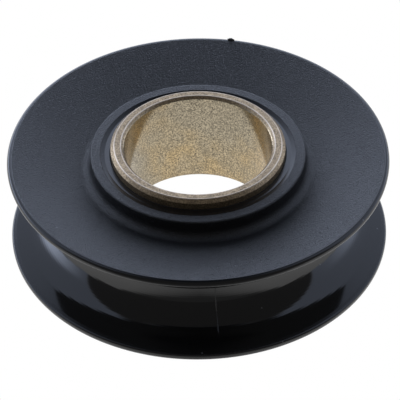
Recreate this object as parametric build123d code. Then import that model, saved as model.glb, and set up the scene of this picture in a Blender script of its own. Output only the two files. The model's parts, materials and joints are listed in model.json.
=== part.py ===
"""Wire rope sheave: a moulded nylon body with a sintered bronze bush pressed into its hub.

Millimetres, +Z up along the bore axis. The origin is where the axis crosses the middle
plane of the rope groove. Both pieces are turned forms: each is one half-section, drawn
in radius (X) and height (Z), revolved about Z.
"""
from build123d import *
from math import cos, radians, sin, sqrt, tan
import os

# ---------------------------------------------------------------- plain bush
bore_radius = 22.5            # running fit on the pin
bush_wall = 4.0
bush_length = 32.0
bush_stand = 2.9              # how far the bush stands out of the upper hub face
bush_mouth_chamfer = 0.9      # inner edge, both ends
bush_outer_chamfer = 1.1      # outer edge, both ends
seat_clearance = 0.02         # drawn gap of the press fit between bush and hub

# ---------------------------------------------------------------- rope groove
groove_root_radius = 43.5     # sheave radius at the bottom of the groove
groove_depth = 14.5           # from the bottom of the groove out to the rim
groove_arc_radius = 12.5      # section radius that cradles the rope
flank_angle = 15.0            # degrees between a groove flank and the groove's plane

# ---------------------------------------------------------------- flanges
rim_wall = 2.5                # flange thickness where it meets the rim
rim_round = 1.2               # rounding of the rim's outer corner
lip_chamfer = 0.2             # crisp corner where the rim meets the groove
dish_angle = 13.0             # degrees that the outer face climbs from hub to rim

# ---------------------------------------------------------------- hub
boss_face_height = 16.5       # upper boss face above the groove's plane
boss_land = 3.0               # width of the raised face, out to the boss's side wall
boss_edge_round = 1.0
boss_foot_round = 2.5         # where the upper boss runs into the dished face
ring_depth = 0.35             # sunk ring around the bush, left by the core of the mould
ring_width = 1.8
ring_ramp = 1.4               # slope from the sunk ring up to the boss face
lower_edge_chamfer = 0.5
seat_lead_in = 0.7            # chamfer that guides the bush in from below

# ---------------------------------------------------------------- derived sizes
bush_radius = bore_radius + bush_wall
seat_radius = bush_radius + seat_clearance
ring_radius = seat_radius + ring_width
hub_radius = ring_radius + ring_ramp + boss_land
bush_top = boss_face_height + bush_stand
bush_bottom = bush_top - bush_length
lower_hub_face = bush_bottom  # the bush is pressed in flush with this face
arc_centre_radius = groove_root_radius + groove_arc_radius
rim_radius = groove_root_radius + groove_depth


def turned(outline):
    """Revolve a closed half-section, drawn in radius and height, about Z."""
    return revolve(outline, Axis.Z, 360)


def at(radius, height):
    """A point of a half-section."""
    return Vector(radius, 0, height)


def section(corners):
    """A face with straight sides between corners given as (radius, height)."""
    return make_face(Polyline([at(*corner) for corner in corners], close=True))


def corner_of(outline, corner):
    """The vertex of a half-section nearest to (radius, height)."""
    return outline.vertices().sort_by_distance(at(*corner))[0]


def rounded(outline, corner, size, wall, share=0.6):
    """Round one corner, by no more than a share of the wall that it ends."""
    return fillet(corner_of(outline, corner), min(size, share * wall))


def bevelled(outline, corner, size, wall, share=0.25):
    """Bevel one corner, by no more than a share of the wall that it ends."""
    return chamfer(corner_of(outline, corner), min(size, share * wall))


def flank_start():
    """Where the upper groove flank leaves the root arc, as (radius, height)."""
    lean = radians(flank_angle)
    return arc_centre_radius - groove_arc_radius * sin(lean), groove_arc_radius * cos(lean)


def groove_height(radius):
    """Half the groove's width at a radius, on the root arc or out along a flank."""
    start_radius, start_height = flank_start()
    if radius < start_radius:
        return sqrt(groove_arc_radius ** 2 - (arc_centre_radius - radius) ** 2)
    return start_height + (radius - start_radius) * tan(radians(flank_angle))


def dish_height(radius):
    """Height of the dished outer face, which climbs to one rim wall beyond the groove's lip."""
    rim_face = groove_height(rim_radius) + rim_wall
    return rim_face - (rim_radius - radius) * tan(radians(dish_angle))


def groove_section():
    """The rope groove: a root arc with two flanks tangent to it, which run out past the rim."""
    radius, height = flank_start()
    past_rim = radius + rim_radius
    outer_height = groove_height(past_rim)
    return make_face([
        Line(at(past_rim, -outer_height), at(radius, -height)),
        ThreePointArc(at(radius, -height), at(groove_root_radius, 0), at(radius, height)),
        Line(at(radius, height), at(past_rim, outer_height)),
        Line(at(past_rim, outer_height), at(past_rim, -outer_height)),
    ])


def body_section():
    """Half-section of the one-piece body: hub, dished flanges, rims and rope groove."""
    boss_edge = (hub_radius, boss_face_height)
    boss_foot = (hub_radius, dish_height(hub_radius))
    upper_rim = (rim_radius, dish_height(rim_radius))
    upper_lip = (rim_radius, groove_height(rim_radius))
    lower_lip = (rim_radius, -groove_height(rim_radius))
    lower_rim = (rim_radius, -dish_height(rim_radius))
    lower_foot = (hub_radius, -dish_height(hub_radius))
    lower_edge = (hub_radius, lower_hub_face)
    outline = section([
        (seat_radius, boss_face_height - ring_depth),
        (ring_radius, boss_face_height - ring_depth),
        (ring_radius + ring_ramp, boss_face_height),
        boss_edge,
        boss_foot,
        upper_rim,
        lower_rim,
        lower_foot,
        lower_edge,
        (seat_radius + seat_lead_in, lower_hub_face),
        (seat_radius, lower_hub_face + seat_lead_in),
    ])
    outline -= groove_section()
    boss_wall = boss_face_height - dish_height(hub_radius)
    lower_wall = abs(lower_hub_face + dish_height(hub_radius))
    outline = rounded(outline, boss_edge, boss_edge_round, boss_wall, share=0.25)
    outline = rounded(outline, boss_foot, boss_foot_round, boss_wall, share=0.45)
    outline = bevelled(outline, lower_edge, lower_edge_chamfer, lower_wall)
    for rim, lip in ((upper_rim, upper_lip), (lower_rim, lower_lip)):
        outline = rounded(outline, rim, rim_round, rim_wall)
        outline = bevelled(outline, lip, lip_chamfer, rim_wall)
    return outline


def bush_section():
    """Half-section of the plain bush, chamfered on both edges at both ends."""
    return section([
        (bore_radius, bush_bottom + bush_mouth_chamfer),
        (bore_radius, bush_top - bush_mouth_chamfer),
        (bore_radius + bush_mouth_chamfer, bush_top),
        (bush_radius - bush_outer_chamfer, bush_top),
        (bush_radius, bush_top - bush_outer_chamfer),
        (bush_radius, bush_bottom + bush_outer_chamfer),
        (bush_radius - bush_outer_chamfer, bush_bottom),
        (bore_radius + bush_mouth_chamfer, bush_bottom),
    ])


parts = {
    "sheave_body": turned(body_section()),
    "bush": turned(bush_section()),
}

os.makedirs("parts", exist_ok=True)
for name, solid in parts.items():
    solid.label = name
    export_step(solid, f"parts/{name}.step")
    print(name, "volume", round(solid.volume), "mm3")
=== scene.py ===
# %% [markdown]
# # A wire rope sheave, dressed for the studio
#
# The sheave is two pieces: a black body moulded in one piece from nylon, and a plain bush of
# sintered bronze pressed into its hub. The CAD model gives both at their true size. This lesson
# gives them their finish, turns the body again with softer edges, adds the fine moulding marks
# and sets the sheave in a white studio. Everything is in metres, with +Z along the bore and the
# origin in the middle plane of the rope groove.

# %% Load the frame
import json
import math

import bmesh
import bpy
from mathutils import Matrix, Vector

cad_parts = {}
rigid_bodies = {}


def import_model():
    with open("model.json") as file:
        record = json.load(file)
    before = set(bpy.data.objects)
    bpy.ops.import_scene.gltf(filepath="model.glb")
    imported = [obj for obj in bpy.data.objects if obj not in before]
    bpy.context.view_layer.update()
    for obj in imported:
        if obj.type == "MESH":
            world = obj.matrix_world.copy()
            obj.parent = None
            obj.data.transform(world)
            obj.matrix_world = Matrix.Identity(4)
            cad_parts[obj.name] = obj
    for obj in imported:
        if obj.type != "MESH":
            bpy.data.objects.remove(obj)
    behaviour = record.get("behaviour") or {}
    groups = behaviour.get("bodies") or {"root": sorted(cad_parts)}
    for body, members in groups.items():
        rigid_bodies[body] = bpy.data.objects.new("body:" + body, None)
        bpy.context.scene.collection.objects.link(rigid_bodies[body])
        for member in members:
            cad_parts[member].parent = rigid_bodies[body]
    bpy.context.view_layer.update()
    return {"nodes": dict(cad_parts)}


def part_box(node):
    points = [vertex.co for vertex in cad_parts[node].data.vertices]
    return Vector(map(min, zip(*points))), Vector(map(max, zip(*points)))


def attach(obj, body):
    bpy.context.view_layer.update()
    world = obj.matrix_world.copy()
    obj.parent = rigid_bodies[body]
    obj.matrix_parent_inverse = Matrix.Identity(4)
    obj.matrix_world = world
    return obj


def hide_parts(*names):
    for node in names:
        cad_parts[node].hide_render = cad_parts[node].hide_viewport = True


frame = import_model()
bush = frame["nodes"]["bush"]

# %% [markdown]
# ## The sizes that the finishes follow
#
# On the real body the finish changes along circles: the outer faces are matte, and the rim,
# the groove and a narrow ring round the bush are polished, because different pieces of the
# mould made them. The finishes could be painted on the mesh or given to picked faces. Here they
# follow the radius and height of each point, because the body is a turned form and a few sizes
# then describe every border, however fine the mesh is. The rim, the faces and the bush are
# measured on the CAD pieces, and the rest are the driving sizes of the section.

# %% Sizes in metres
MM = 0.001

low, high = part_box("sheave_body")
bush_low, bush_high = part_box("bush")
rim_radius = high[0]
boss_face = high[2]
bush_top = bush_high[2]
bush_bottom = bush_low[2]
bush_radius = bush_high[0]
floor_height = low[2]
rim_top = -low[2]                        # the flanges are mirror images

groove_root = 43.5 * MM                  # radius at the bottom of the groove
groove_arc = 12.5 * MM                   # radius of the groove's section
flank_angle = math.radians(15)
polish_radius = rim_radius - 1.5 * MM    # the matte face ends where the rim starts to round
ring_end = 3.2 * MM                      # from the bush out to where the boss face begins
ring_radius = bush_radius + ring_end     # the polished ring round the bush
bore_radius = 22.5 * MM
mouth_chamfer = 0.9 * MM                 # the flat end of the bush lies between two chamfers
outer_chamfer = 1.1 * MM
land_inner = bore_radius + mouth_chamfer
land_outer = bush_radius - outer_chamfer
print("rim", rim_radius, "boss face", boss_face, "bush", bush_radius, bush_bottom, bush_top)

# %% [markdown]
# ## A few words for building node trees
#
# A shader tree could be wired by hand in the editor. In code it is easiest to read when a node
# and what feeds it stand on one line. These helpers only save typing: `feed` links a socket or
# sets a value, `add` makes a node, `calc` is one Math node, `times` multiplies a few values, and
# `ramp` is a smooth step from one value to another.

# %% Node helpers
def feed(tree, socket, value):
    """Link value into socket if it is a socket, or set it as the socket's own value."""
    if isinstance(value, bpy.types.NodeSocket):
        tree.links.new(value, socket)
    else:
        socket.default_value = value


def add(tree, kind, inputs=None, **settings):
    """A new node with its settings made and its inputs fed, by name or by number."""
    made = tree.nodes.new(kind)
    for name, value in settings.items():
        setattr(made, name, value)
    for key, value in (inputs or {}).items():
        feed(tree, made.inputs[key], value)
    return made


def calc(tree, operation, *values):
    """One Math node's output."""
    made = add(tree, "ShaderNodeMath", operation=operation)
    for number, value in enumerate(values):
        feed(tree, made.inputs[number], value)
    return made.outputs[0]


def times(tree, first, *others):
    """The product of a few values."""
    for other in others:
        first = calc(tree, "MULTIPLY", first, other)
    return first


def gap_to(tree, value, mark):
    """How far value is from a mark, on either side of it."""
    return calc(tree, "ABSOLUTE", calc(tree, "SUBTRACT", value, mark))


def ramp(tree, value, start, end, low=0.0, high=1.0):
    """A smooth step of value: low at start and before it, high at end and after it."""
    made = add(tree, "ShaderNodeMapRange", interpolation_type="SMOOTHSTEP")
    for name, given in (("Value", value), ("From Min", start), ("From Max", end)):
        feed(tree, made.inputs[name], given)
    made.inputs["To Min"].default_value = low
    made.inputs["To Max"].default_value = high
    return made.outputs["Result"]


def band(tree, value, rise, fall):
    """One between two ramps of value: up over the first pair, down over the second."""
    return times(tree, ramp(tree, value, *rise), ramp(tree, value, *reversed(fall)))


def mix(tree, kind, factor, first, second):
    """A mix of two colours (kind RGBA) or two numbers (kind FLOAT)."""
    made = add(tree, "ShaderNodeMix", data_type=kind)
    feed(tree, made.inputs["Factor"], factor)
    feed(tree, made.inputs["A"], first)
    feed(tree, made.inputs["B"], second)
    return made.outputs["Result"]


def tint(tree, factor, first, second):
    """A mix of two colours."""
    return mix(tree, "RGBA", factor, first, second)


def between(tree, factor, first, second):
    """A mix of two numbers."""
    return mix(tree, "FLOAT", factor, first, second)


print("node helpers ready")

# %% [markdown]
# ## Words for groups, materials and pieces
#
# An effect that two materials share could be copied into both, but then a repair has to be made
# twice. A node group holds it once, with its own named inputs. The other three helpers begin a
# material, put a finished mesh into the scene and give a surface one look for the camera and
# another for everything that reflects it.

# %% Group, material and piece helpers
WHITE = (1, 1, 1, 1)


def new_group(name, inputs, outputs):
    """A shader group with named float inputs and their defaults, and named float outputs."""
    tree = bpy.data.node_groups.new(name, "ShaderNodeTree")
    for label, value in inputs.items():
        socket = tree.interface.new_socket(name=label, in_out="INPUT", socket_type="NodeSocketFloat")
        socket.default_value = value
    for label in outputs:
        tree.interface.new_socket(name=label, in_out="OUTPUT", socket_type="NodeSocketFloat")
    return tree, tree.nodes.new("NodeGroupInput").outputs, tree.nodes.new("NodeGroupOutput").inputs


def use(tree, group, **inputs):
    """Place a group in a tree, with its inputs fed by name."""
    made = add(tree, "ShaderNodeGroup", node_tree=group)
    for name, value in inputs.items():
        feed(tree, made.inputs[name], value)
    return made.outputs


def new_material(name):
    """An empty node material and its Principled shader."""
    made = bpy.data.materials.new(name)
    made.use_nodes = True
    tree = made.node_tree
    return made, tree, tree.nodes["Principled BSDF"].inputs


def new_piece(name, mesh):
    """An object made from a mesh and put into the scene."""
    piece = bpy.data.objects.new(name, mesh)
    bpy.context.scene.collection.objects.link(piece)
    return piece


def shade_smooth(mesh):
    """Blend the shading over all faces of a mesh."""
    for face in mesh.polygons:
        face.use_smooth = True


def white_to_camera(tree, kind, reflected):
    """Plain white where the camera looks, and the reflected shader for every other ray."""
    plain = add(tree, kind, {"Color": WHITE, "Strength": 1.0}).outputs[0]
    seen = add(tree, "ShaderNodeLightPath").outputs["Is Camera Ray"]
    return add(tree, "ShaderNodeMixShader", {0: seen, 1: reflected, 2: plain}).outputs[0]


print("group, material and piece helpers ready")

# %% [markdown]
# ## Where a point is on a turned piece
#
# Mould borders, rubbed edges and the mould's parting line all follow the axis. They could follow
# a UV map, but then every mesh would need one. One group turns a point's place into its radius
# from the axis, its height and its turn round the axis, in metres and radians, and both
# materials read it.

# %% Group: place on a turned piece
turned_place, _, out = new_group("turned place", {}, ("Radius", "Height", "Turn"))
place = add(turned_place, "ShaderNodeTexCoord").outputs["Object"]
axes = add(turned_place, "ShaderNodeSeparateXYZ", {"Vector": place}).outputs
flat = add(turned_place, "ShaderNodeCombineXYZ", {"X": axes["X"], "Y": axes["Y"]}).outputs[0]
length = add(turned_place, "ShaderNodeVectorMath", {0: flat}, operation="LENGTH").outputs["Value"]
feed(turned_place, out["Radius"], length)
feed(turned_place, out["Height"], axes["Z"])
feed(turned_place, out["Turn"], calc(turned_place, "ARCTAN2", axes["Y"], axes["X"]))
print("group:", turned_place.name)

# %% [markdown]
# ## Grain
#
# The mould for the nylon was spark eroded, which leaves a skin of tiny shallow craters, and
# the bronze is pressed powder, whose open pores show as dark pinpricks. Real craters would need
# millions of faces, so they are a random relief in the material. Both are at a steady size, so
# one group makes both: soft lumps with round pits among them, and slow clouds over all. `Size`
# is the spacing of the pits in metres, and `Share` is how many of the places hold one.

# %% Group: grain
grain, given, out = new_group("grain", {"Size": 0.0005, "Share": 0.3}, ("Height", "Pits", "Cloud"))
smallest_pit = 0.14      # a pit's radius, as a share of the spacing
pit_range = 0.22         # how much larger the largest is
pit_wall = 0.06          # half the width of a pit's sloping wall
pit_depth = 0.8          # depth of a pit, with the height of the lumps as 1
cloud_pitch = 0.07       # pits' spacing, as a share of the clouds'

place = add(grain, "ShaderNodeTexCoord").outputs["Object"]
pitch = calc(grain, "DIVIDE", 1.0, given["Size"])
lumps = add(grain, "ShaderNodeTexNoise",
            {"Vector": place, "Scale": pitch, "Detail": 2.0, "Roughness": 0.6}).outputs["Fac"]
cells = add(grain, "ShaderNodeTexVoronoi", {"Vector": place, "Scale": pitch, "Randomness": 1.0}).outputs
lot = add(grain, "ShaderNodeSeparateColor", {"Color": cells["Color"]}).outputs
mouth = calc(grain, "ADD", smallest_pit, times(grain, lot["Green"], pit_range))
hole = ramp(grain, calc(grain, "SUBTRACT", cells["Distance"], mouth), pit_wall, -pit_wall)
pits = times(grain, hole, calc(grain, "LESS_THAN", lot["Red"], given["Share"]))
cloud = add(grain, "ShaderNodeTexNoise",
            {"Vector": place, "Scale": times(grain, pitch, cloud_pitch),
             "Detail": 3.0, "Roughness": 0.55}).outputs["Fac"]
feed(grain, out["Height"], calc(grain, "SUBTRACT", lumps, times(grain, pits, pit_depth)))
feed(grain, out["Pits"], pits)
feed(grain, out["Cloud"], cloud)
print("group:", grain.name)

# %% [markdown]
# ## Edge wear
#
# An edge is touched first, so on plastic it is rubbed pale. The edges could be painted by hand.
# Instead a Bevel node gives the surface direction as if every edge were rounded, and wherever
# that departs from the true direction there is an edge. `Width` is the worn strip in metres, and
# `Ragged` is how much of it stays where the noise says that nothing rubbed.

# %% Group: edge wear
edge_wear, given, out = new_group("edge wear", {"Width": 0.0004, "Ragged": 0.4}, ("Wear",))
chatter_scale = 900.0                    # patches of wear per metre
spared, worn = 0.35, 0.6                 # the noise below and above which nothing or all is worn
on_face, on_edge = 0.995, 0.93           # how far the two directions agree, as a cosine

softened = add(edge_wear, "ShaderNodeBevel", {"Radius": given["Width"]}, samples=6).outputs["Normal"]
true_normal = add(edge_wear, "ShaderNodeNewGeometry").outputs["Normal"]
agree = add(edge_wear, "ShaderNodeVectorMath", {0: softened, 1: true_normal}, operation="DOT_PRODUCT")
place = add(edge_wear, "ShaderNodeTexCoord").outputs["Object"]
chatter = add(edge_wear, "ShaderNodeTexNoise", {"Vector": place, "Scale": chatter_scale, "Detail": 3.0})
rubbed_here = ramp(edge_wear, chatter.outputs["Fac"], spared, worn)
keep = between(edge_wear, given["Ragged"], 1.0, rubbed_here)
edge = ramp(edge_wear, agree.outputs["Value"], on_face, on_edge)
feed(edge_wear, out["Wear"], times(edge_wear, edge, keep))
print("group:", edge_wear.name)

# %% [markdown]
# ## Dust
#
# A few pale specks lie on any black part that has been handled. They could be tiny meshes, but
# at this size colour is enough: they are rare bright cells of a Voronoi texture. `Spacing` is
# the distance between specks in metres and `Amount` how many of the cells hold one.

# %% Group: dust
dust, given, out = new_group("dust", {"Spacing": 0.004, "Amount": 0.25}, ("Specks",))
speck_edge, speck_core = 0.07, 0.03      # radii, as a share of the spacing

place = add(dust, "ShaderNodeTexCoord").outputs["Object"]
pitch = calc(dust, "DIVIDE", 1.0, given["Spacing"])
cells = add(dust, "ShaderNodeTexVoronoi", {"Vector": place, "Scale": pitch}).outputs
lot = add(dust, "ShaderNodeSeparateColor", {"Color": cells["Color"]}).outputs["Red"]
holds = calc(dust, "LESS_THAN", lot, given["Amount"])
dot = ramp(dust, cells["Distance"], speck_edge, speck_core)
feed(dust, out["Specks"], times(dust, dot, holds))
print("group:", dust.name)

# %% [markdown]
# ## Black nylon: where each finish lies
#
# The body is one moulding with two finishes. Its outer faces have the spark-eroded grain, and
# the rims, the groove and a narrow ring round the bush are polished. It could wear two materials on
# picked faces. One material holds both, with a mask from radius and height that picks between
# them, so that the border is crisp and stays with the part. Two finer marks follow the same
# circles: a thin painted shade where the ring meets the bush, standing for the shadow in the gap
# there, and the witness line that the mould's slides left where they met across the groove.

# %% Nylon: masks of the finishes
nylon, tree, shader = new_material("black_nylon")
soft = 0.05 * MM                         # half the width of a border between finishes
wall_height = 12.0 * MM                  # middle of the flange's wall at the groove's bottom
wall_lean = 0.2                          # and how fast it climbs outwards
witness_turn = math.radians(-84)         # where the slides met
witness_edge, witness_core = 0.0030, 0.0012      # half widths of the line, in radians
witness_end, witness_start = 54 * MM, 49 * MM    # radii between which it fades
seam_edge, seam_core = 0.45 * MM, 0.30 * MM      # width of the painted shade at the seam

where = use(tree, turned_place)
radius, height, turn = where["Radius"], where["Height"], where["Turn"]
depth = calc(tree, "ABSOLUTE", height)

on_rim = ramp(tree, radius, polish_radius - soft, polish_radius + soft)
wall_middle = calc(tree, "ADD", wall_height - wall_lean * groove_root, times(tree, radius, wall_lean))
inside = calc(tree, "LESS_THAN", depth, wall_middle)
in_groove = times(tree, inside, calc(tree, "GREATER_THAN", radius, groove_root - 1 * MM))
near_bush = times(tree, ramp(tree, radius, ring_radius + soft, ring_radius - soft),
                  calc(tree, "GREATER_THAN", height, boss_face - 1 * MM))
on_ring_or_rim = calc(tree, "MAXIMUM", near_bush, on_rim)
polished = calc(tree, "MAXIMUM", calc(tree, "MAXIMUM", on_rim, in_groove), near_bush)
# Painted shade: a thin dark ring on the polished ring just outside the bush, standing for the shadow in the
# gap between the two parts.
seam_shade_mask = times(tree, near_bush, ramp(tree, radius, bush_radius + seam_edge, bush_radius + seam_core))
witness = times(tree, in_groove, ramp(tree, gap_to(tree, turn, witness_turn), witness_edge, witness_core),
                ramp(tree, radius, witness_end, witness_start))
print("finishes of", nylon.name, "placed with", len(tree.nodes), "nodes")

# %% [markdown]
# ## Black nylon: colour, gloss and relief
#
# Black nylon has almost no colour of its own: what is seen is gloss, so the roughness and the
# fine relief matter more than the base colour. Each layer is laid over the one before it, from
# the grain up to the specks of dust.

# %% Nylon: colour
nylon_dark = (0.0030, 0.0032, 0.0038, 1)
nylon_light = (0.0060, 0.0063, 0.0074, 1)
nylon_pit = (0.0020, 0.0020, 0.0024, 1)
nylon_gloss = (0.0045, 0.0046, 0.0050, 1)
# Colour of the painted shade in the gap next to the bush.
nylon_seam_shade = (0.0015, 0.0014, 0.0012, 1)
nylon_worn = (0.05, 0.052, 0.056, 1)
nylon_witness = (0.024, 0.025, 0.026, 1)
dust_grey = (0.16, 0.165, 0.17, 1)

skin = use(tree, grain, Size=0.40 * MM, Share=0.5)
specks = use(tree, dust, Spacing=6 * MM, Amount=0.2)["Specks"]
wear = use(tree, edge_wear, Width=0.5 * MM, Ragged=0.5)["Wear"]

matte_colour = tint(tree, skin["Cloud"], nylon_dark, nylon_light)
matte_colour = tint(tree, times(tree, skin["Pits"], 0.6), matte_colour, nylon_pit)
colour = tint(tree, polished, matte_colour, nylon_gloss)
# Lays the painted shade in the gap next to the bush.
colour = tint(tree, seam_shade_mask, colour, nylon_seam_shade)
layers = (
    (wear, 0.25, nylon_worn),
    (witness, 0.15, nylon_witness),
    (specks, 0.5, dust_grey),
)
for mask, strength, layer in layers:
    colour = tint(tree, times(tree, mask, strength), colour, layer)
feed(tree, shader["Base Color"], colour)
print("colour layers of", nylon.name, "laid")

# %% Nylon: gloss and relief
grain_middle = 0.4               # the relief's mean, about which it changes the roughness
grain_roughness = 0.45
grain_depth = 0.24 * MM

matte_rough = between(tree, skin["Cloud"], 0.36, 0.44)
grain_rough = times(tree, calc(tree, "SUBTRACT", skin["Height"], grain_middle), grain_roughness)
matte_rough = calc(tree, "ADD", matte_rough, grain_rough)
gloss = between(tree, on_ring_or_rim, 0.09, 0.24)
gloss = between(tree, seam_shade_mask, gloss, 0.8)
feed(tree, shader["Roughness"], between(tree, polished, matte_rough, gloss))
relief = times(tree, skin["Height"], calc(tree, "SUBTRACT", 1.0, polished))
relief = calc(tree, "ADD", relief, times(tree, witness, 0.2))
bump = add(tree, "ShaderNodeBump", {"Height": relief, "Distance": grain_depth, "Strength": 1.0})
feed(tree, shader["Normal"], bump.outputs["Normal"])
shader["IOR"].default_value = 1.53
print("material:", nylon.name, len(tree.nodes), "nodes")

# %% [markdown]
# ## Sintered bronze
#
# The bush is pressed and sintered powder, sized in a die afterwards. Its bore is a yellow-brown
# full of dark pores, with patches of greyer oil stain. The end face and chamfers are the die's
# faces: closer and paler, with a painted highlight along both edges of the end face, where they
# are rubbed and catch the light. It could be a smooth metal with a printed speckle. It is made as
# a powder instead, with the grain group's relief and pores lightening and darkening it, so that
# the speckle also breaks up what the metal reflects.

# %% Bronze: masks
bronze, tree, shader = new_material("sintered_bronze")
bore_edge, bore_core = 0.25 * MM, 0.05 * MM      # the bore's finish fades in between them
line_core = 0.10 * MM                            # half width of a painted highlight line
inner_line_edge, outer_line_edge = 0.26 * MM, 0.24 * MM
end_edge, end_core = 0.3 * MM, 0.1 * MM          # depths below the end face

where = use(tree, turned_place)
radius, height = where["Radius"], where["Height"]
powder = use(tree, grain, Size=0.48 * MM, Share=0.8)
stain = use(tree, grain, Size=2.1 * MM, Share=0.3)
in_bore = ramp(tree, radius, bore_radius + bore_edge, bore_radius + bore_core)
inner_line = ramp(tree, gap_to(tree, radius, land_inner), inner_line_edge, line_core)
outer_line = ramp(tree, gap_to(tree, radius, land_outer), outer_line_edge, line_core)
on_end = ramp(tree, height, bush_top - end_edge, bush_top - end_core)
# Painted highlight: thin bright lines along both edges of the end face, for the rubbed edges and the light
# they catch.
rubbed_edge_highlight = times(tree, calc(tree, "MAXIMUM", inner_line, outer_line), on_end)
print("finishes of", bronze.name, "placed with", len(tree.nodes), "nodes")

# %% Bronze: colour, gloss and relief
bore_yellow = (0.44, 0.335, 0.19, 1)
bore_brown = (0.40, 0.325, 0.21, 1)
bore_stain = (0.35, 0.30, 0.215, 1)
end_light = (0.40, 0.30, 0.185, 1)
end_dark = (0.30, 0.225, 0.14, 1)
pore_dark = (0.07, 0.06, 0.05, 1)
# Colour of the painted highlight on the rubbed edges.
painted_edge_highlight = (0.72, 0.62, 0.50, 1)
powder_depth = 0.015 * MM

warm = tint(tree, ramp(tree, powder["Cloud"], 0.35, 0.65), bore_yellow, bore_brown)
warm = tint(tree, ramp(tree, stain["Cloud"], 0.42, 0.62), warm, bore_stain)
pale = tint(tree, powder["Cloud"], end_light, end_dark)
colour = tint(tree, in_bore, pale, warm)
speckle = ramp(tree, powder["Height"], 0.42, 0.62, low=0.70, high=1.34)
colour = add(tree, "ShaderNodeVectorMath", {0: colour, "Scale": speckle}, operation="SCALE").outputs["Vector"]
colour = tint(tree, times(tree, powder["Pits"], between(tree, in_bore, 0.45, 0.9)), colour, pore_dark)
# Lays the painted highlight along the edges of the end face.
colour = tint(tree, times(tree, rubbed_edge_highlight, 0.75), colour, painted_edge_highlight)
feed(tree, shader["Base Color"], colour)
shader["Metallic"].default_value = 0.85
rough = between(tree, in_bore, 0.42, 0.12)
feed(tree, shader["Roughness"], calc(tree, "ADD", rough, times(tree, powder["Pits"], 0.3)))
bump = add(tree, "ShaderNodeBump", {"Height": powder["Height"], "Distance": powder_depth, "Strength": 0.7})
feed(tree, shader["Normal"], bump.outputs["Normal"])
print("material:", bronze.name, len(tree.nodes), "nodes")

# %% [markdown]
# ## Dressing the bush
#
# The bush keeps its CAD mesh, because its chamfers are crisp on the real one too. It could be
# made again in Blender, but that would only copy the CAD. Every slot that the CAD gave it gets
# the bronze.

# %% Dress the bush
for slot in bush.material_slots:
    slot.material = bronze
print(bush.name, "wears", bronze.name)

# %% [markdown]
# ## The moulded body
#
# The body is a turned form, and the CAD gives its half-section. On the real moulding the lips of
# the groove are rounder than the CAD draws them and the boss edge is crisper, and such roundings
# are what catch the light. So this piece turns the same section again, with its own rounding at
# each corner. It could be made with the Screw modifier; here the rings are joined in code, with
# a spare ring close to each rounding, so that smooth shading leaves the flat faces flat.

# %% The half-section and its corners, in millimetres
rim_wall = 2.5                   # flange thickness where it meets the rim
dish_angle = math.radians(13)    # how steeply the outer face climbs from hub to rim
hub = 32.72                      # radius of the boss and of the lower hub
seat_clearance = 0.02            # drawn gap of the press fit
ring_depth = 0.35                # the sunk ring round the bush
ring_width = 1.8                 # its flat bottom, before the slope up to the boss face
seat_lead_in = 0.7               # chamfer that guides the bush in from below
edge_round = 0.6                 # boss edge and both edges of the sunk ring
foot_round = 2.5                 # where the boss runs into the dished face
rim_round = 1.2
upper_lip_round = 1.2
lower_lip_round = 0.8
lower_round = 0.5                # foot and edge of the lower hub
root_steps = 48                  # straight steps that make up the root arc

rim = min(-low[0], high[0], -low[1], high[1]) / MM      # the CAD mesh is a hair narrower on one side
root = groove_root / MM
arc = groove_arc / MM
flank_radius = root + arc - arc * math.sin(flank_angle)
lip_height = arc * math.cos(flank_angle) + (rim - flank_radius) * math.tan(flank_angle)
rim_height = lip_height + rim_wall
foot_height = rim_height - (rim - hub) * math.tan(dish_angle)
top = boss_face / MM
bottom = bush_bottom / MM
seat = bush_radius / MM + seat_clearance


def root_arc(count):
    """Points of the groove's root arc, from its upper flank down to its lower one."""
    reach = math.pi / 2 - flank_angle
    turns = [reach - 2 * reach * step / count for step in range(count + 1)]
    return [(root + arc - arc * math.cos(a), arc * math.sin(a), 0) for a in turns]


# Each corner is its radius from the axis, its height and its rounding.
corners = [
    (seat, top - ring_depth, 0),
    (seat + ring_width, top - ring_depth, edge_round),
    (seat + ring_end / MM, top, edge_round),
    (hub, top, edge_round),
    (hub, foot_height, foot_round),
    (rim, rim_height, rim_round),
    (rim, lip_height, upper_lip_round),
    *root_arc(root_steps),
    (rim, -lip_height, lower_lip_round),
    (rim, -rim_height, rim_round),
    (hub, -foot_height, lower_round),
    (hub, bottom, lower_round),
    (seat + seat_lead_in, bottom, 0),
    (seat, bottom + seat_lead_in, 0),
]
print("corners of the section:", len(corners))


# %% Rounding the corners
def rounded_corner(before, corner, after, rounding, count=6):
    """Points along the arc that rounds a corner between two others."""
    here = Vector(corner)
    into = (Vector(before) - here).normalized()
    away = (Vector(after) - here).normalized()
    half = into.angle(away) / 2
    first = here + into * rounding / math.tan(half)
    last = here + away * rounding / math.tan(half)
    centre = here + (into + away).normalized() * rounding / math.sin(half)
    swept = (first - centre).angle_signed(last - centre)
    arms = [Matrix.Rotation(-swept * step / count, 2) @ (first - centre) for step in range(count + 1)]
    return [centre + arm for arm in arms]


def section_points(corners):
    """The whole outline, each corner rounded by its own size."""
    points = []
    for number, (radius, height, rounding) in enumerate(corners):
        corner = (radius, height)
        before = corners[number - 1][:2]
        after = corners[(number + 1) % len(corners)][:2]
        points.extend(rounded_corner(before, corner, after, rounding) if rounding else [Vector(corner)])
    return points


def with_spares(points, spare=0.12):
    """The outline with a spare point close to each end of a long straight run."""
    filled = []
    for number, point in enumerate(points):
        following = points[(number + 1) % len(points)]
        filled.append(point)
        run = following - point
        if run.length > 4 * spare:
            filled.append(point + run.normalized() * spare)
            filled.append(following - run.normalized() * spare)
    return filled


outline = with_spares(section_points(corners))
print("points of the outline:", len(outline))


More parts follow.
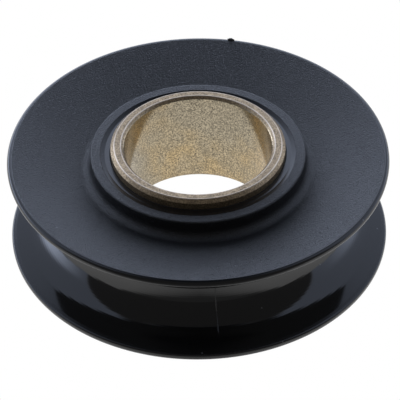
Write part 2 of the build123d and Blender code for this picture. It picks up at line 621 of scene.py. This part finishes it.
# %% Turning the section
def turned_piece(name, outline, segments=288):
    """A closed mesh made by turning an outline, in millimetres, about Z."""
    verts = []
    for step in range(segments):
        angle = 2 * math.pi * step / segments
        verts.extend((r * MM * math.cos(angle), r * MM * math.sin(angle), z * MM) for r, z in outline)
    count = len(outline)
    faces = []
    for step in range(segments):
        ring = step * count
        following = (step + 1) % segments * count
        for number in range(count):
            further = (number + 1) % count
            faces.append((ring + number, following + number, following + further, ring + further))
    made = bpy.data.meshes.new(name)
    made.from_pydata(verts, [], faces)
    made.validate()
    shape = bmesh.new()
    shape.from_mesh(made)
    bmesh.ops.recalc_face_normals(shape, faces=shape.faces)
    shape.to_mesh(made)
    shape.free()
    shade_smooth(made)
    return new_piece(name, made)


moulding = turned_piece("moulded_body", outline)
moulding.data.materials.append(nylon)
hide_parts("sheave_body")
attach(moulding, "root")
print("moulded body:", len(moulding.data.polygons), "faces")

# %% [markdown]
# ## A nub of flash
#
# Where the two halves of the mould meet at the rim, a little nylon has squeezed out and left a
# nub on the upper edge. It could be sculpted. Here a small ball of triangles is stretched along
# the rim and pushed in and out by a fixed sum of waves, which gives a torn lump that comes out
# the same every time.

# %% The nub of flash
def torn_lump(name, size, seed, waves=9.0, push_share=0.16):
    """A small irregular lump, size metres in x, y and z."""
    shape = bmesh.new()
    bmesh.ops.create_icosphere(shape, subdivisions=4, radius=0.5)
    for vertex in shape.verts:
        x, y, z = vertex.co * waves
        push = math.sin(x + seed) * math.cos(1.3 * y - seed) + 0.5 * math.sin(2.1 * z + x + 2 * seed)
        vertex.co *= 1.0 + push_share * push
        vertex.co = Vector((vertex.co.x * size[0], vertex.co.y * size[1], vertex.co.z * size[2]))
    made = bpy.data.meshes.new(name)
    shape.to_mesh(made)
    shape.free()
    shade_smooth(made)
    return new_piece(name, made)


flash_size = (0.9 * MM, 2.3 * MM, 1.3 * MM)      # outwards, along the rim and up
flash_turn = math.radians(79)
flash_place = (rim_radius - 0.75 * MM, 0, rim_top - 0.15 * MM)

flash = torn_lump("rim_flash", flash_size, 1.7)
flash.data.transform(Matrix.Rotation(flash_turn, 4, "Z") @ Matrix.Translation(flash_place))
flash.data.materials.append(nylon)
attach(flash, "root")
print("nub:", len(flash.data.polygons), "faces")

# %% [markdown]
# ## The studio
#
# Black gloss shows the room more than the part, so the room is most of the work. The part
# stands on a glowing white table in a soft white room. The side that the camera looks from is
# dark, and so is a patch high up behind the part. A tall lamp stands straight behind it, and a
# low bright wall curves round from the left to the right, brighter at the left. These could be
# light planes, but a sky whose brightness depends on direction gives the same reflections with
# soft borders and no edges in view. The camera's own rays see plain white.

# %% Sky
def degrees(*angles):
    """Angles in radians from angles in degrees."""
    return tuple(math.radians(angle) for angle in angles)


room_front = (-0.14, -0.10)      # how far forward the white room reaches, as the ray's Y
room_roof = (0.90, 0.95)         # above this the room is white in front too, as the ray's Z
room_level, dark_level, gap_level = 0.80, 0.13, 0.03
gap_width = (0.45, 0.20)         # the dark patch high up behind, as the ray's X and Z
gap_height = (0.62, 0.86)
lamp_width = degrees(21, 13)     # to either side of straight back
lamp_foot, lamp_head = (0.30, 0.40), (0.68, 0.76)
lamp_level = 1.15
wall_width = degrees(95, 45)
wall_foot, wall_head = (0.0, 0.04), (0.22, 0.42)
wall_level = 2.0
back_turn = math.radians(4)      # the lamp and the wall stand a little to the left
dark_hue = (1.0, 0.98, 0.98, 1)
room_hue = (0.84, 0.95, 1.21, 1)

world = bpy.data.worlds.new("studio")
bpy.context.scene.world = world
world.use_nodes = True
tree = world.node_tree
tree.nodes.clear()
toward = add(tree, "ShaderNodeTexCoord").outputs["Generated"]
ray = add(tree, "ShaderNodeSeparateXYZ", {"Vector": toward}).outputs
lit = calc(tree, "MAXIMUM", ramp(tree, ray["Y"], *room_front), ramp(tree, ray["Z"], *room_roof))
bearing = calc(tree, "ARCTAN2", ray["X"], ray["Y"])
off_back = calc(tree, "ABSOLUTE", calc(tree, "ADD", bearing, back_turn))
lamp = times(tree, ramp(tree, off_back, *lamp_width), band(tree, ray["Z"], lamp_foot, lamp_head), lamp_level)
wall = times(tree, ramp(tree, off_back, *wall_width), band(tree, ray["Z"], wall_foot, wall_head), wall_level,
             ramp(tree, ray["X"], -0.5, 0.5, low=1.45, high=0.50))
middle = ramp(tree, calc(tree, "ABSOLUTE", ray["X"]), *gap_width)
gap = times(tree, middle, ramp(tree, ray["Z"], *gap_height))
sky = between(tree, lit, dark_level, between(tree, gap, room_level, gap_level))
level = calc(tree, "ADD", sky, calc(tree, "MAXIMUM", lamp, wall))
hue = tint(tree, lit, dark_hue, room_hue)
room = add(tree, "ShaderNodeBackground", {"Color": hue, "Strength": level}).outputs[0]
add(tree, "ShaderNodeOutputWorld", {"Surface": white_to_camera(tree, "ShaderNodeBackground", room)})
print("sky:", len(tree.nodes), "nodes")

# %% [markdown]
# ## The table
#
# The table is a white sheet that glows as a light table does, which fills the bore with light.
# It could be plain card lit by the room, but the part would then shade it and the bore would
# stay dark. It glows less towards the camera. The camera itself sees it as plain white, and
# from below it is clear, so that it never hides the part.

# %% Table
half_side = 3.0
side_share = 0.6                 # how far a step sideways counts as a step back
glow_from, glow_to = -0.095, -0.030
glow_low, glow_high = 0.20, 1.05

mesh = bpy.data.meshes.new("table")
signs = ((-1, -1), (1, -1), (1, 1), (-1, 1))
mesh.from_pydata([(x * half_side, y * half_side, floor_height) for x, y in signs], [], [(0, 1, 2, 3)])
table = new_piece("table", mesh)
card = bpy.data.materials.new("white_card")
card.use_nodes = True
tree = card.node_tree
tree.nodes.clear()
place = add(tree, "ShaderNodeTexCoord").outputs["Object"]
spot = add(tree, "ShaderNodeSeparateXYZ", {"Vector": place}).outputs
reach = calc(tree, "ADD", spot["Y"], times(tree, calc(tree, "ABSOLUTE", spot["X"]), side_share))
glow = ramp(tree, reach, glow_from, glow_to, low=glow_low, high=glow_high)
lit_card = add(tree, "ShaderNodeEmission", {"Color": WHITE, "Strength": glow}).outputs[0]
above = white_to_camera(tree, "ShaderNodeEmission", lit_card)
clear = add(tree, "ShaderNodeBsdfTransparent", {"Color": WHITE}).outputs[0]
below = add(tree, "ShaderNodeNewGeometry").outputs["Backfacing"]
surface = add(tree, "ShaderNodeMixShader", {0: below, 1: above, 2: clear}).outputs[0]
add(tree, "ShaderNodeOutputMaterial", {"Surface": surface})
mesh.materials.append(card)
print("table at", round(floor_height, 5))

# %% [markdown]
# ## The camera
#
# A wide lens close by would swell the near rim. So this is a long lens from a good arm's length,
# looking down at about forty degrees, with the small tilt that a hand-set tripod leaves. It
# looks at a point a little beside and below the middle of the groove.

# %% Camera
camera_distance = 14 * rim_radius
camera_rise = math.radians(40.78)
camera_roll = math.radians(-0.76)
aim_aside = 0.4 * MM
aim_below = 2.36 * MM

eye = Vector((0, -math.cos(camera_rise), math.sin(camera_rise))) * camera_distance
forward = -eye.normalized()
upward = Vector((1, 0, 0)).cross(forward)
aim = Vector((aim_aside, 0, 0)) - upward * aim_below
lens = bpy.data.cameras.new("camera")
lens.sensor_width = 36
lens.lens = 238
camera = new_piece("camera", lens)
look = (aim - eye).to_track_quat("-Z", "Y").to_matrix().to_4x4()
camera.matrix_world = Matrix.Translation(eye) @ look @ Matrix.Rotation(camera_roll, 4, "Z")
bpy.context.scene.camera = camera
bpy.context.scene.view_settings.view_transform = "Standard"
print("camera at", [round(v, 3) for v in eye])
